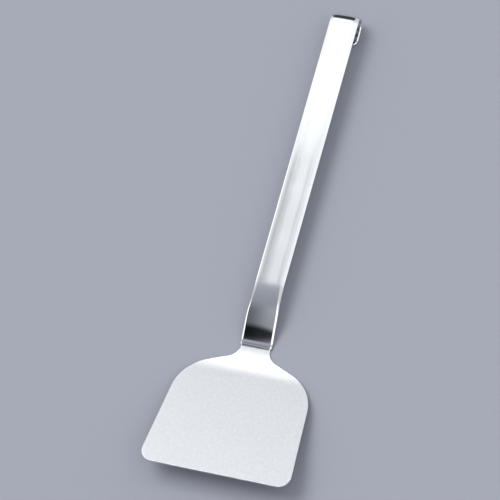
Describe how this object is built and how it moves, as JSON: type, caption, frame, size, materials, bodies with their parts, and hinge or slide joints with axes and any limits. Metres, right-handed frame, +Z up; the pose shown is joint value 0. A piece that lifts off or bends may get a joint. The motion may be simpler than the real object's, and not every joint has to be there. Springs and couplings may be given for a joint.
{
  "type": "pancake turner",
  "caption": "Stainless turner: wide thin satin blade with rounded shoulders, lapped and spot welded under a long polished strap handle that curls into a hanging hook.",
  "frame": {"origin": "middle of the footprint, on the surface that the turner lies on", "axes": "+X across the blade, +Y from the blade's front edge to the hook, +Z up, with the turner lying on its heel and its hook"},
  "size_m": [0.1016, 0.344, 0.0185],
  "materials": {
    "satin_steel": "fine satin, blasted and lightly brushed",
    "polished_steel": "mirror polished stainless steel",
    "weld_steel": "dull spot weld, slightly heat tinted"
  },
  "bodies": {
    "root": {"blade": "satin_steel", "handle_strap": "polished_steel", "spot_weld_1": "weld_steel", "spot_weld_2": "weld_steel", "spot_weld_3": "weld_steel"}
  },
  "joints": []
}
